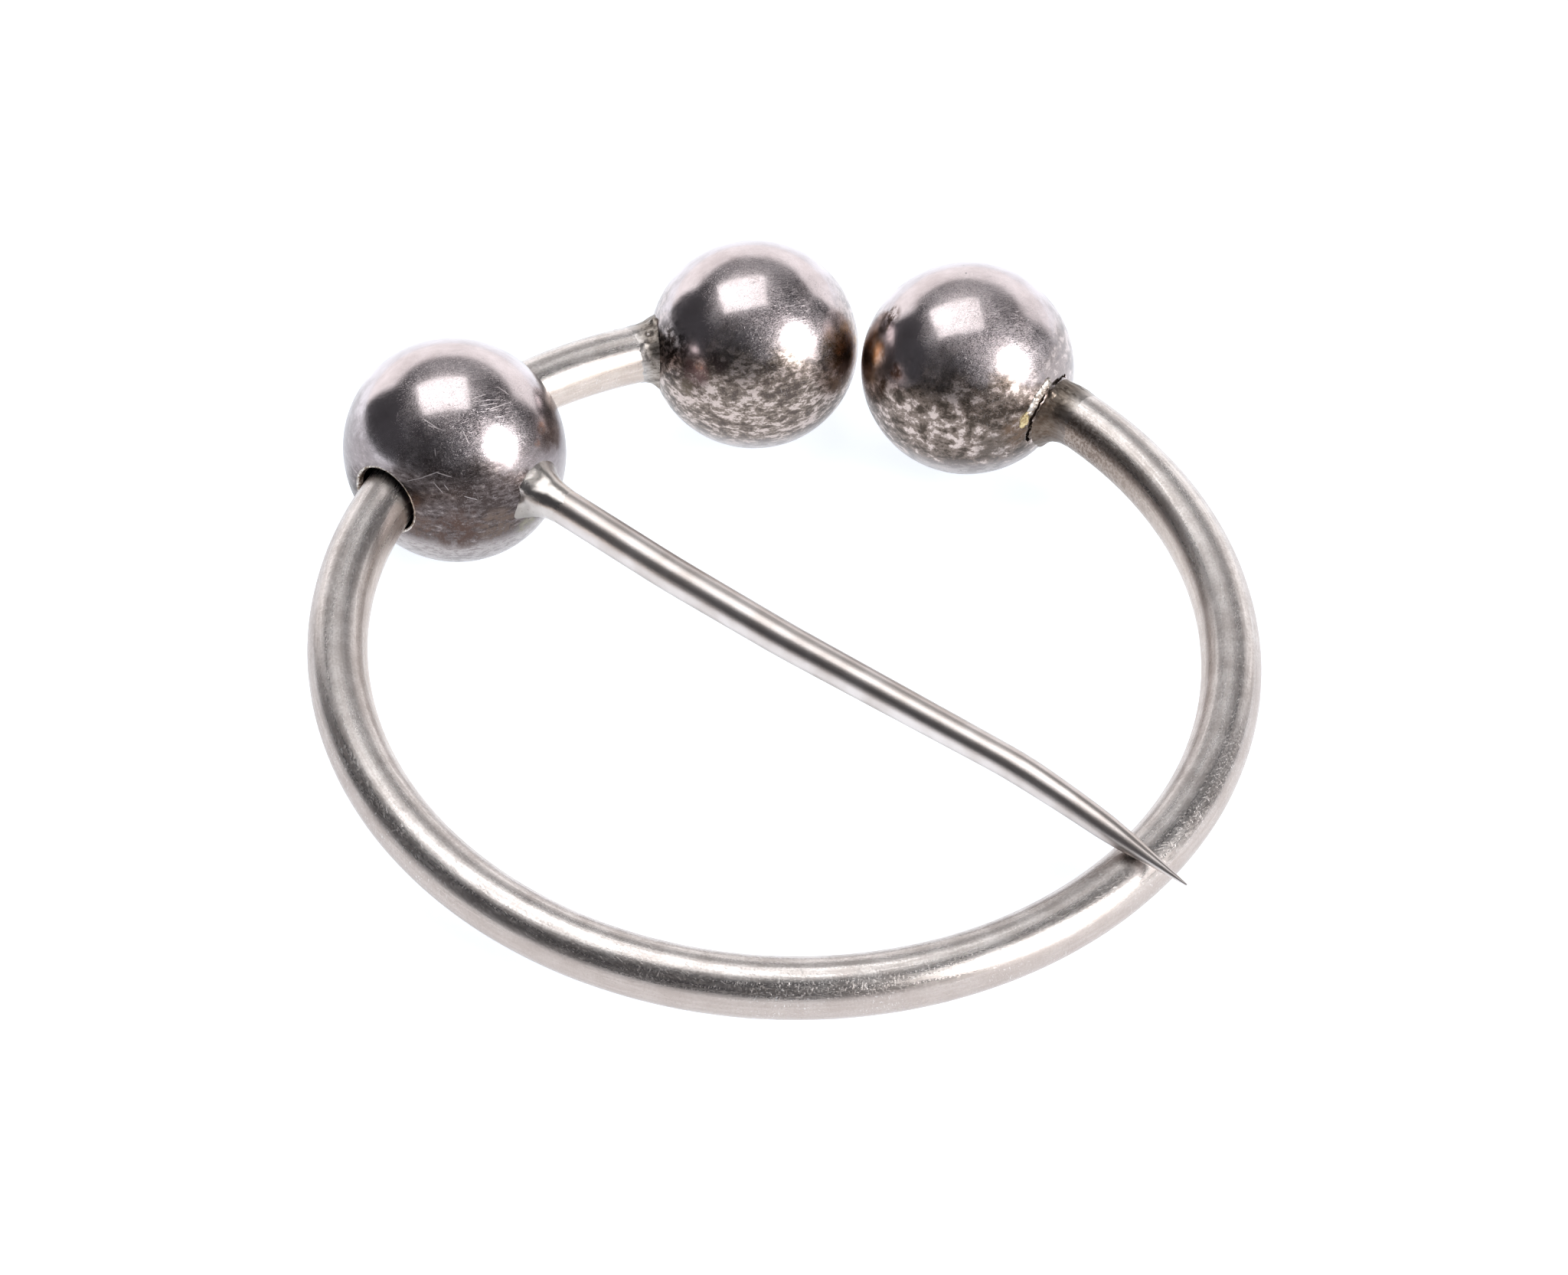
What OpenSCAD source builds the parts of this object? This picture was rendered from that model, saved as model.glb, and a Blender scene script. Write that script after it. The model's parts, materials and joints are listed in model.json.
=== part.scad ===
// Open-ring brooch: a hoop of silver wire with a hollow ball soldered on each end,
// and a third hollow ball that is threaded on the hoop and carries the pin.
// The hoop is drawn flat in its own plane, then laid on the table as it rests by itself.

/* [Hoop] */
// Width of the hoop across the middle line of its wire
hoop_d = 60; // [56:0.5:64]
// Thickness of the hoop's wire
wire_d = 4.05; // [3.8:0.05:4.3]
// Place on the hoop, in degrees from the right, where the left arm is bent down
arm_bend_at = 150; // [148:1:154]
// How far the left arm is bent down out of the hoop's plane, in degrees
arm_drop = 2.1; // [1:0.1:3]

/* [End balls] */
// Width of the left end ball
left_ball_d = 14.85; // [14:0.05:15.2]
// Place of the left end ball on the hoop, in degrees
left_ball_at = 96.2; // [96:0.1:99]
// Width of the right end ball
right_ball_d = 15.05; // [14:0.05:15.2]
// Place of the right end ball on the hoop, in degrees
right_ball_at = 66.2; // [62:0.1:66.4]
// How far the end balls sit inside the wire's middle line
end_ball_in = 0.3; // [0:0.05:0.4]
// Thickness of the sheet that the three balls are raised from
sheet = 0.4; // [0.3:0.05:0.6]

/* [Solder joints] */
// How far the solder at the left end ball stands out round the wire
left_collar = 0.65; // [0.4:0.05:0.7]
// How far the solder at the right end ball stands out round the wire
right_collar = 0.6; // [0.4:0.05:0.7]
// Width of the crack that has opened beside the right end ball
crack_w = 0.18; // [0.1:0.02:0.3]
// Depth of that crack
crack_depth = 0.25; // [0.1:0.05:0.25]
// How far the crack runs round the wire, in degrees
crack_turn = 170; // [90:5:200]
// How far the solder cone at the root of the pin stands out round it
pin_collar = 1.3; // [0.8:0.1:1.5]

/* [Sliding ball] */
// Width of the sliding ball across its bore
slider_d = 15.7; // [15:0.05:16]
// Width of the sliding ball along its bore, where it is a little flattened
slider_len = 14.8; // [14.4:0.05:15]
// Place of the sliding ball on the hoop, in degrees
slider_at = 144.4; // [142:0.2:146]
// How much wider the bore is than the wire
bore_slack = 1.1; // [1:0.05:1.3]
// How far the bore lies above the middle of the ball
bore_up = 0.2; // [0:0.05:0.3]

/* [Pin] */
// Thickness of the pin where it leaves the ball
pin_root_d = 2.5; // [2.2:0.05:2.7]
// Thickness of the pin halfway
pin_mid_d = 2.42; // [2.1:0.04:2.5]
// Thickness of the pin at its highest bend
pin_neck_d = 2.12; // [1.8:0.04:2.2]
// Thickness of the pin where the point begins
pin_shoulder_d = 1.72; // [1.4:0.04:1.8]
// Thickness of the blunt tip
pin_tip_d = 0.14; // [0.1:0.02:0.4]
// Height of the pin's root over the middle of the ball
pin_root_up = 1.43; // [1:0.01:1.6]
// Turn of the pin from the line towards the hoop's middle, in degrees
pin_yaw = -2.2; // [-4:0.2:0]
// Gap between the pin and the wire that it lies on
pin_gap = 0.1; // [0.06:0.02:0.3]

/* [Hidden] */
$fn = 96;

silver_wire = [0.79, 0.77, 0.75];
silver_ball = [0.62, 0.58, 0.57];

hoop_r = hoop_d / 2;
wire_r = wire_d / 2;
left_r = left_ball_d / 2;
right_r = right_ball_d / 2;
slider_r = slider_d / 2;
hole_r = wire_r + bore_slack / 2;

// A ball joins two stretches of wire where they meet at an angle. It stands out by this much,
// and the stretches stop this far short of its middle, so that they never cut each other
knuckle_out = 0.02;
knuckle_gap = 0.12;
// How far the ends of the wire reach inside the wall of their balls
wire_inside = 1;
// Height of the solder cones, and how far their feet have sagged
left_height = 1.5;
left_sag = [-0.14, 0.14];
right_height = 1.4;
right_sag = [-0.35, -0.3];
pin_foot_height = 2.6;
pin_foot_sag = [0.25, -0.15];
// How deep the cones' feet go into their balls, how far their necks go into the wire or pin,
// and the turn of their seams, which keeps them away from the seams of the wire
foot_inside = 0.5;
neck_inside = 0.1;
seam_turn = 50;
// Side of the wire that the crack lies on, in degrees round the wire from its outer side,
// how far it starts inside the foot of the solder, and its reach along the wire
crack_side = 130;
crack_inside = 0.1;
crack_bottom = -2;
crack_top = 0.5;
// Angle on the hoop from the middle of an end ball to its skin, and to the end of the wire
function skin_turn(ball_r) = 2 * asin(ball_r / (2 * hoop_r));
function wire_end_turn(ball_r) = 2 * asin((ball_r - sheet - wire_inside) / (2 * hoop_r));
left_turn = arm_bend_at - left_ball_at;

// Half the profile of the sliding ball is a half circle, moved out from the bore by this much
slider_flat = (slider_d - slider_len) / 2;
slider_round_r = slider_len / 2;
// Half the length of the bore
bore_half = sqrt(pow(slider_round_r, 2) - pow(hole_r - slider_flat, 2));

// Places in the hoop's own plane: x to the right, y away, z out of the plane
function turn_x(p, a) = [p.x, p.y * cos(a) - p.z * sin(a), p.y * sin(a) + p.z * cos(a)];
function turn_z(p, a) = [p.x * cos(a) - p.y * sin(a), p.x * sin(a) + p.y * cos(a), p.z];
function on_hoop(at, r) = turn_z([r, 0, 0], at);
function on_arm(turn, r) = turn_z(turn_x(turn_z([r, 0, 0], -turn), arm_drop), arm_bend_at);
right_ball_pos = on_hoop(right_ball_at, hoop_r - end_ball_in);
left_ball_pos = on_arm(left_turn, hoop_r - end_ball_in);

// The wire bulges out between the two holes, so the ball's middle lies inside the wire.
// The slack lets the ball hang inwards and lets its left hole ride higher than its right hole.
hang_in = 0.2 * bore_slack;
ride_up = 0.3 * bore_slack;
bore_turn = asin(bore_half / hoop_r);
arm_fall = hoop_r * sin(arm_bend_at - slider_at + bore_turn) * sin(arm_drop);
bore_lean = asin((ride_up + arm_fall / 2) / bore_half);
bore_pos = on_hoop(slider_at, hoop_r * cos(bore_turn) - hang_in) - [0, 0, arm_fall / 2];
slider_pos = bore_pos - [0, 0, bore_up];

// The pin's middle line from the ball to the tip, in its own upright plane
// [length from the ball's middle as a share of the hoop's width, height over the root, thickness]
PIN_LINE = [
    [0, 0, pin_root_d],
    [0.327, 0, pin_root_d],
    [0.497, 0.5, pin_mid_d],
    [0.803, 2.22, pin_neck_d],
    [0.822, 2.29, pin_neck_d],
    [0.842, 2.29, pin_neck_d],
    [0.9, 2.13, (pin_neck_d + pin_shoulder_d) / 2],
    [0.953, 1.84, pin_shoulder_d],
    [1.053, 1.25, pin_tip_d]
];
// The whole pin is tipped a little, so that it clears the wire where it crosses the hoop
pin_foot_x = sqrt(slider_r * slider_r - pin_root_up * pin_root_up);
slider_out = norm([slider_pos.x, slider_pos.y]);
cross_x = slider_out * cos(pin_yaw) + sqrt(pow(hoop_r, 2) - pow(slider_out * sin(pin_yaw), 2));
cross_z = lookup(cross_x / hoop_d, [for (k = PIN_LINE) [k.x, k.y]]);
cross_r = lookup(cross_x / hoop_d, [for (k = PIN_LINE) [k.x, k.z]]) / 2;
pin_tip_up = wire_r + pin_gap + cross_r - (slider_pos.z + pin_root_up + cross_z);
pin_points = [for (k = PIN_LINE) [k.x * hoop_d, 0, k.y + pin_tip_up * k.x * hoop_d / cross_x]];

// The brooch rests on the sliding ball, the right end ball and the lowest stretch of wire.
// The direction that points up from the table is found by rounds of correction.
function unit(v) = v / norm(v);
function low_wire(up) = -hoop_r * unit([up.x, up.y, 0]) - wire_r * up;
function rest_plane(up) = unit(cross(
    right_ball_pos - right_r * up - low_wire(up),
    slider_pos - slider_r * up - low_wire(up)));
function settle(up, left) = left == 0 ? up : settle(rest_plane(up), left - 1);
first_up = unit([0, 0.1, 1]);
rounds = 12;
up = settle(first_up, rounds);
lean_axis = cross(up, [0, 0, 1]);
lift = -up * low_wire(up);

// Middle of the outline seen from above, which becomes the origin
function lean(p) = p + cross(lean_axis, p) + cross(lean_axis, cross(lean_axis, p)) / (1 + up.z);
near_y = -hoop_r * sqrt(1 - up.y * up.y) - wire_r;
far_y = lean(left_ball_pos).y + left_r;
mid_y = (near_y + far_y) / 2;

module at_rest() {
    translate([0, -mid_y, lift])
        rotate(a = acos(up.z), v = lean_axis)
            children();
}

// A stretch of the hoop's wire between two places on the hoop
module wire_arc(from, to) {
    rotate([0, 0, from])
        rotate_extrude(angle = to - from)
            translate([hoop_r, 0])
                circle(r = wire_r);
}

// The place where the wire meets a ball at angle at, with z along the wire and away from the ball.
// side is 1 where the wire runs on anticlockwise from the ball, and -1 where it runs clockwise
module at_skin(at, ball_r, side) {
    rotate([0, 0, at + side * skin_turn(ball_r)])
        translate([hoop_r, 0, 0])
            rotate([-90 * side, 0, 0])
                children();
}

// Frame of the left arm: its children are drawn as if the arm were still flat and started to the right
module on_left_arm() {
    rotate([0, 0, arm_bend_at])
        rotate([arm_drop, 0, 0])
            children();
}

// Leans what stands on a ball, so that its foot shifts by shift while its top at height stays
module sagged(shift, height, drop) {
    translate([0, 0, height])
        rotate(a = atan(norm(shift) / (height + drop)), v = [shift.y, -shift.x, 0])
            translate([0, 0, -height])
                children();
}

// How deep a circle of radius r on a ball lies under the ball's highest point
function foot_drop(r, ball_r) = ball_r - sqrt(ball_r * ball_r - r * r);

// Solder round a wire at a ball: a cone with hollow cheeks along z, whose foot has sagged by shift
module solder_cone(r, stand, height, ball_r, shift) {
    drop = foot_drop(r + stand, ball_r);
    rise = height + drop;
    cheek_r = (stand * stand + rise * rise) / (2 * stand);
    sagged(shift, height, drop)
        rotate([0, 0, seam_turn])
            rotate_extrude()
                difference() {
                    translate([0, -drop - foot_inside])
                        square([r + stand, rise + foot_inside]);
                    translate([r + cheek_r - neck_inside, height])
                        circle(r = cheek_r);
                }
}

// A closed hollow ball, raised from sheet, with its children soldered to its skin
module end_ball(pos, r) {
    difference() {
        union() {
            translate(pos)
                sphere(r = r);
            children();
        }
        translate(pos)
            sphere(r = r - sheet);
    }
}

// The crack in the right end ball's skin, along the foot of its solder
module crack() {
    foot_r = wire_r + right_collar;
    difference() {
        at_skin(right_ball_at, right_r, -1)
            sagged(right_sag, right_height, foot_drop(foot_r, right_r))
                rotate([0, 0, crack_side - crack_turn / 2])
                    rotate_extrude(angle = crack_turn)
                        translate([foot_r - crack_inside, crack_bottom])
                            square([crack_w, crack_top - crack_bottom]);
        translate(right_ball_pos)
            sphere(r = right_r - crack_depth);
    }
}

module main_wire() {
    knuckle_turn = knuckle_gap / hoop_r * 180 / PI;
    wire_arc(arm_bend_at + knuckle_turn, 360 + right_ball_at - wire_end_turn(right_r));
    rotate([0, 0, arm_bend_at])
        translate([hoop_r, 0, 0])
            rotate([90, 0, 0])
                sphere(r = wire_r + knuckle_out);
    on_left_arm()
        wire_arc(-left_turn + wire_end_turn(left_r), -knuckle_turn);
}

module hoop() {
    color(silver_wire)
        main_wire();
    color(silver_ball) {
        on_left_arm()
            end_ball(turn_z([hoop_r - end_ball_in, 0, 0], -left_turn), left_r)
                at_skin(-left_turn, left_r, 1)
                    solder_cone(wire_r, left_collar, left_height, left_r, left_sag);
        difference() {
            end_ball(right_ball_pos, right_r)
                at_skin(right_ball_at, right_r, -1)
                    solder_cone(wire_r, right_collar, right_height, right_r, right_sag);
            crack();
        }
    }
}

// Profile of the sliding ball turned about its bore; thin is how far inside the skin it lies
module slider_body(thin) {
    rotate([90, 0, 0])
        rotate_extrude()
            intersection() {
                translate([slider_flat, 0])
                    circle(r = slider_round_r - thin);
                translate([0, -slider_r])
                    square([slider_d, slider_d]);
            }
}

// One straight stretch of the pin between two points of its middle line
module pin_stretch(i) {
    run = pin_points[i + 1] - pin_points[i];
    start_gap = i == 0 ? 0 : knuckle_gap;
    end_gap = i + 2 == len(PIN_LINE) ? 0 : knuckle_gap;
    translate(pin_points[i])
        rotate([0, 90 - asin(run.z / norm(run)), 0])
            translate([0, 0, start_gap])
                cylinder(h = norm(run) - start_gap - end_gap, d1 = PIN_LINE[i].z, d2 = PIN_LINE[i + 1].z);
}

// The pin along x, with its middle line starting at the middle of the ball
module pin() {
    for (i = [0 : len(PIN_LINE) - 2])
        pin_stretch(i);
    for (i = [1 : len(PIN_LINE) - 2])
        translate(pin_points[i])
            rotate([0, 90, 0])
                sphere(r = PIN_LINE[i].z / 2 + knuckle_out);
}

// The bore and the hollow of the sliding ball
module slider_hollow() {
    translate([0, 0, -bore_up])
        slider_body(sheet);
    rotate([90, 0, 0])
        cylinder(h = 2 * slider_d, r = hole_r, center = true);
}

module slider_pin() {
    color(silver_ball)
        translate(bore_pos)
            rotate([0, 0, slider_at])
                difference() {
                    union() {
                        rotate([bore_lean, 0, 0])
                            translate([0, 0, -bore_up])
                                slider_body(0);
                        rotate([0, 0, 180 + pin_yaw])
                            translate([0, 0, pin_root_up - bore_up]) {
                                pin();
                                translate([pin_foot_x, 0, 0])
                                    rotate([0, 90, 0])
                                        solder_cone(pin_root_d / 2, pin_collar, pin_foot_height,
                                            slider_r, pin_foot_sag);
                            }
                    }
                    rotate([bore_lean, 0, 0])
                        slider_hollow();
                }
}

at_rest() hoop();
at_rest() slider_pin();
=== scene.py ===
import json
import math

import bpy
import numpy as np
from mathutils import Matrix, Vector

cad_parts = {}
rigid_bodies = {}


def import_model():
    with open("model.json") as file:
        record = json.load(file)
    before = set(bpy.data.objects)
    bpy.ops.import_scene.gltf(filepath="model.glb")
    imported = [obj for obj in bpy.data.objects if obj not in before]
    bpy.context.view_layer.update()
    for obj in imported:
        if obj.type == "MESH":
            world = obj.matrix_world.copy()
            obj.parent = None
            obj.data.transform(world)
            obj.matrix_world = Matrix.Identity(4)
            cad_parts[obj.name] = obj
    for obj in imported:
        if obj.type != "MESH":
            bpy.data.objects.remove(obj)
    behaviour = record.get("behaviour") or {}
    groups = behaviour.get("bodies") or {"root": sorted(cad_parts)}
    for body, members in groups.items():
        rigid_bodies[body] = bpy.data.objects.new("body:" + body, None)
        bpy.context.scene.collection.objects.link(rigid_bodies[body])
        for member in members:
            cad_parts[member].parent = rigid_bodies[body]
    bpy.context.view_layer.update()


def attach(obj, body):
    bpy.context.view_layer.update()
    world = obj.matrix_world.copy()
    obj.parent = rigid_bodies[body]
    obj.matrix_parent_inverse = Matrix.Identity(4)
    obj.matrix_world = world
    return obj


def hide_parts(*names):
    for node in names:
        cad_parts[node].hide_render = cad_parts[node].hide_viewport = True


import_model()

# The hoop's wire. A round silver wire, drawn through a plate and bent by hand
# into an open ring. Its left arm springs a little out of the ring's plane.
MM = 0.001
HOOP_R = 30.0 * MM
WIRE_R = 2.025 * MM
ARM_BEND_AT = math.radians(150)
ARM_DROP = math.radians(2.1)
LEFT_BALL_AT = math.radians(96.2)
RIGHT_BALL_AT = math.radians(66.2)
# Each end of the wire is hidden in its ball, this far round from the ball's middle
INTO_BALL = math.radians(11.5)


def ring_way(turn):
    """The way from the hoop's middle to a turn round it."""
    return Vector((math.cos(turn), math.sin(turn), 0))


# The brooch rests on the sliding ball, the right end ball and the front of the
# wire, so the hoop is tipped about a line through its middle, lifted, and moved
# towards the front until the brooch is in the middle of the frame
LEAN = math.radians(6.4236)
LEAN_LINE = math.radians(26.0217)
HOOP_LIFT = 5.3813 * MM
HOOP_SHIFT = -2.4975 * MM
HOOP = Matrix.Translation((0, HOOP_SHIFT, HOOP_LIFT)) @ Matrix.Rotation(LEAN, 4, ring_way(LEAN_LINE))
# The left arm is bent down at one place, with the ball and the wire beyond it
ARM_BEND = Matrix.Rotation(ARM_BEND_AT, 4, "Z")
ARM = ARM_BEND @ Matrix.Rotation(ARM_DROP, 4, "X") @ ARM_BEND.inverted()


def start(name, add_primitive, **settings):
    """Adds a primitive with nothing else selected, and opens it in edit mode."""
    if bpy.context.mode != "OBJECT":
        bpy.ops.object.mode_set(mode="OBJECT")
    bpy.ops.object.select_all(action="DESELECT")
    add_primitive(**settings)
    piece = bpy.context.object
    piece.name = piece.data.name = name
    bpy.ops.object.transform_apply(location=True, rotation=True, scale=True)
    bpy.ops.object.mode_set(mode="EDIT")
    bpy.ops.mesh.select_mode(type="VERT")
    bpy.ops.mesh.select_all(action="SELECT")
    return piece


def pick(piece, kind, test):
    """In edit mode, selects the parts whose corners all pass the test, and nothing else."""
    modes = {"vertices": "VERT", "edges": "EDGE", "polygons": "FACE"}
    bpy.ops.mesh.select_mode(type=modes[kind])
    bpy.ops.mesh.select_all(action="DESELECT")
    bpy.ops.object.mode_set(mode="OBJECT")
    points = piece.data.vertices
    for part in getattr(piece.data, kind):
        corners = [part.index] if kind == "vertices" else part.vertices
        part.select = all(test(points[i].co) for i in corners)
    bpy.ops.object.mode_set(mode="EDIT")


def close_up():
    """Closes the piece that is in edit mode: merges its doubles, caps its open ends
    and turns its faces outwards."""
    bpy.ops.mesh.select_mode(type="VERT")
    bpy.ops.mesh.select_all(action="SELECT")
    bpy.ops.mesh.remove_doubles(threshold=0.002 * MM)
    bpy.ops.mesh.fill_holes(sides=0)
    bpy.ops.mesh.select_all(action="SELECT")
    bpy.ops.mesh.normals_make_consistent(inside=False)
    bpy.ops.object.mode_set(mode="OBJECT")


def uneven(piece, size, height):
    """Lets the surface wander in and out by about height, in bumps of about size."""
    texture = bpy.data.textures.new(piece.name + "_uneven", type="CLOUDS")
    texture.noise_scale = size
    wander = piece.modifiers.new("uneven", "DISPLACE")
    wander.texture = texture
    wander.texture_coords = "LOCAL"
    wander.strength = height
    bpy.ops.object.modifier_apply(modifier="uneven")


def laid(piece, place):
    """Moves a finished piece to where it lies, with its place in its mesh."""
    piece.matrix_world = place
    bpy.ops.object.transform_apply(location=True, rotation=True, scale=True)
    bpy.ops.object.shade_smooth_by_angle(angle=math.radians(50))


wire = start(
    "hoop_wire",
    bpy.ops.mesh.primitive_circle_add,
    vertices=48,
    radius=WIRE_R,
    location=(HOOP_R, 0, 0),
    rotation=(math.pi / 2, 0, 0),
)
bpy.ops.transform.rotate(
    value=-ARM_BEND_AT, orient_axis="Z", orient_type="GLOBAL", center_override=(0, 0, 0)
)
bpy.ops.mesh.spin(
    steps=320,
    angle=-(RIGHT_BALL_AT + 2 * math.pi - INTO_BALL - ARM_BEND_AT),
    center=(0, 0, 0),
    axis=(0, 0, 1),
)
bend_way = ring_way(ARM_BEND_AT)
pick(wire, "edges", lambda p: p.dot(bend_way) > 0 and abs(p.cross(bend_way).z) < 0.01 * MM)
bpy.ops.mesh.spin(
    steps=60,
    angle=ARM_BEND_AT - LEFT_BALL_AT - INTO_BALL,
    center=(0, 0, 0),
    axis=ARM @ Vector((0, 0, 1)),
)
close_up()


def straight_wire(p):
    """Where a point of the bent wire lay, in mm, while the wire was straight."""
    turn = math.atan2(p.y, p.x)
    if turn < (LEFT_BALL_AT + RIGHT_BALL_AT) / 2:
        turn += 2 * math.pi
    return turn * HOOP_R / MM, (math.hypot(p.x, p.y) - HOOP_R) / MM, p.z / MM


def keep_straight(piece, straight):
    """Stores on each point where it lay before the bending, for marks that follow the metal."""
    layer = piece.data.attributes.new("straight", "FLOAT_VECTOR", "POINT")
    for point, value in zip(piece.data.vertices, layer.data):
        value.vector = straight(point.co)


keep_straight(wire, straight_wire)
uneven(wire, size=8 * MM, height=0.03 * MM)
laid(wire, HOOP)


def colour(code):
    """sRGB hex to linear."""
    parts = [int(code[i : i + 2], 16) / 255 for i in (1, 3, 5)]
    return [c / 12.92 if c <= 0.04045 else ((c + 0.055) / 1.055) ** 2.4 for c in parts] + [1]


def add(tree, kind, inputs, out=0, **settings):
    """Adds a node with its settings and links, and gives one of its outputs."""
    made = tree.nodes.new("ShaderNode" + kind)
    for name, value in settings.items():
        setattr(made, name, value)
    for name, value in inputs.items():
        if isinstance(value, bpy.types.NodeSocket):
            tree.links.new(value, made.inputs[name])
        else:
            made.inputs[name].default_value = value
    return made.outputs[out] if made.outputs else made


def new_material(name):
    """An empty material and its node tree."""
    material = bpy.data.materials.new(name)
    material.use_nodes = True
    material.node_tree.nodes.clear()
    return material, material.node_tree


def finished(material, base, rough, relief, strength, height, metallic=1.0):
    """Ends a material: its colour and gloss, and a relief of so many mm in its surface."""
    tree = material.node_tree
    bump = add(tree, "Bump", {"Height": relief, "Strength": strength, "Distance": height * MM})
    look = {"Base Color": base, "Metallic": metallic, "Roughness": rough, "Normal": bump}
    add(tree, "OutputMaterial", {"Surface": add(tree, "BsdfPrincipled", look)})
    return material


def scratches(tree, mm, length, width, cover):
    """Straight scratches that lie three ways, about so long and wide in mm: 1 along them
    and 0 between them. The cover raises the share of the surface that they take."""
    most = 0.0
    for turn in ((0.3, 0.2, 0.5), (1.2, 0.7, 1.9), (2.2, 1.4, 0.1)):
        along = add(
            tree,
            "Mapping",
            {"Vector": mm, "Rotation": turn, "Scale": (length, width, width)},
            vector_type="TEXTURE",
        )
        field = add(tree, "TexNoise", {"Vector": along, "Scale": 1.0, "Detail": 2.0, "Roughness": 0.6})
        line = add(
            tree, "MapRange", {"Value": field, "From Min": 0.66 - cover, "From Max": 0.72 - cover}
        )
        most = add(tree, "Math", {0: most, 1: line}, operation="MAXIMUM")
    return most


def gathered_brown(tree, base, grain, outward, share):
    """The base under brown tarnish, gathered in specks on the hoop's inner side."""
    inside = add(tree, "MapRange", {"Value": outward, "From Min": -0.3, "From Max": -1.5})
    specks = add(
        tree,
        "MapRange",
        {"Value": grain, "From Min": 0.44, "From Max": 0.56, "To Min": 0.45, "To Max": 0.8},
    )
    mask = add(tree, "Math", {0: inside, 1: specks}, operation="MULTIPLY")
    mask = add(tree, "Math", {0: mask, 1: share}, operation="MULTIPLY")
    return add(tree, "Mix", {0: mask, 6: base, 7: colour("#5A4638")}, out=2, data_type="RGBA")


def drawn_silver():
    """Drawn silver wire, handled for years: a satin sheen with fine lines along
    the wire, short nicks and knocks, and a thin warm tarnish on its inner and
    outer sides."""
    material, tree = new_material("drawn_silver")
    mm = add(tree, "Attribute", {}, out="Vector", attribute_name="straight")
    along = add(tree, "SeparateXYZ", {"Vector": mm}, out="X")
    outward = along.node.outputs["Y"]
    # Draw lines are a few hundredths of a millimetre apart: drawn up to ten times
    # coarser, to show
    drawn = add(tree, "Mapping", {"Vector": mm, "Scale": (0.16, 4.2, 4.2)})
    lines = add(tree, "TexNoise", {"Vector": drawn, "Scale": 1.0, "Detail": 5.0, "Roughness": 0.62})
    mottle = add(tree, "TexNoise", {"Vector": mm, "Scale": 0.55, "Detail": 5.0})
    grain = add(tree, "TexNoise", {"Vector": mm, "Scale": 6.0, "Detail": 2.0})
    mixed = add(tree, "Math", {0: lines, 1: mottle}, operation="ADD")
    mixed = add(tree, "Math", {0: grain, 1: 0.8, 2: mixed}, operation="MULTIPLY_ADD")
    tone = add(tree, "MapRange", {"Value": mixed, "From Min": 1.2, "From Max": 1.6})
    base = add(
        tree, "Mix", {0: tone, 6: colour("#C6BEBA"), 7: colour("#E8E2DF")}, out=2, data_type="RGBA"
    )
    inner = add(tree, "MapRange", {"Value": outward, "From Min": -1.1, "From Max": -1.9, "To Max": 0.6})
    outer = add(tree, "MapRange", {"Value": outward, "From Min": 1.0, "From Max": 1.9, "To Max": 0.75})
    base = add(tree, "Mix", {0: inner, 6: base, 7: colour("#C6B4A6")}, out=2, data_type="RGBA")
    base = add(tree, "Mix", {0: outer, 6: base, 7: colour("#B0A29A")}, out=2, data_type="RGBA")
    # The brown is next to the right ball only, which is 198 to 211 mm along the wire
    near_ball = add(tree, "MapRange", {"Value": along, "From Min": 198.0, "From Max": 211.0})
    speckle = add(tree, "TexNoise", {"Vector": mm, "Scale": 4.2, "Detail": 6.0, "Roughness": 0.7})
    base = gathered_brown(tree, base, speckle, outward, near_ball)
    nicks = scratches(tree, mm, length=0.6, width=0.06, cover=0.04)
    # Knocks and longer scratches, in places
    knocks = scratches(tree, mm, length=0.8, width=0.11, cover=0.0)
    knocked = add(tree, "TexNoise", {"Vector": mm, "Scale": 0.16, "Detail": 2.0})
    knocked = add(tree, "MapRange", {"Value": knocked, "From Min": 0.42, "From Max": 0.6})
    knocks = add(tree, "Math", {0: knocks, 1: knocked}, operation="MULTIPLY")
    base = add(tree, "Mix", {0: knocks, 6: base, 7: colour("#E6E2E0")}, out=2, data_type="RGBA")
    satin = add(
        tree,
        "MapRange",
        {"Value": lines, "From Min": 0.38, "From Max": 0.62, "To Min": 0.34, "To Max": 0.25},
    )
    rough = add(tree, "Mix", {0: nicks, 2: satin, 3: 0.58})
    relief = add(tree, "Math", {0: nicks, 1: -0.5, 2: lines}, operation="MULTIPLY_ADD")
    relief = add(tree, "Math", {0: knocks, 1: -1.6, 2: relief}, operation="MULTIPLY_ADD")
    relief = add(tree, "Math", {0: grain, 1: 1.1, 2: relief}, operation="MULTIPLY_ADD")
    return finished(material, base, rough, relief, strength=0.6, height=0.007)


wire.data.materials.append(drawn_silver())
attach(wire, "hoop")
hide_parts("hoop")


# The end balls. Two hollow balls raised from thin silver sheet. Handling keeps
# their tops bright, while tarnish with worn flecks covers their lower halves.
# The sides that face each other are amber tarnish with a painted reflection of
# the other ball on them.
BALL_RING_R = HOOP_R - 0.3 * MM
LEFT_BALL = ARM @ (ring_way(LEFT_BALL_AT) * BALL_RING_R)
RIGHT_BALL = ring_way(RIGHT_BALL_AT) * BALL_RING_R
LEFT_BALL_R = 7.425 * MM
RIGHT_BALL_R = 7.525 * MM
# Tarnish is fullest on the side that faces forward and down, and hands rub the
# side that faces forward and up
TARNISHED_WAY = (0, -0.8, -0.6)
HANDLED_WAY = (0.3, -0.5, 0.81)


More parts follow.
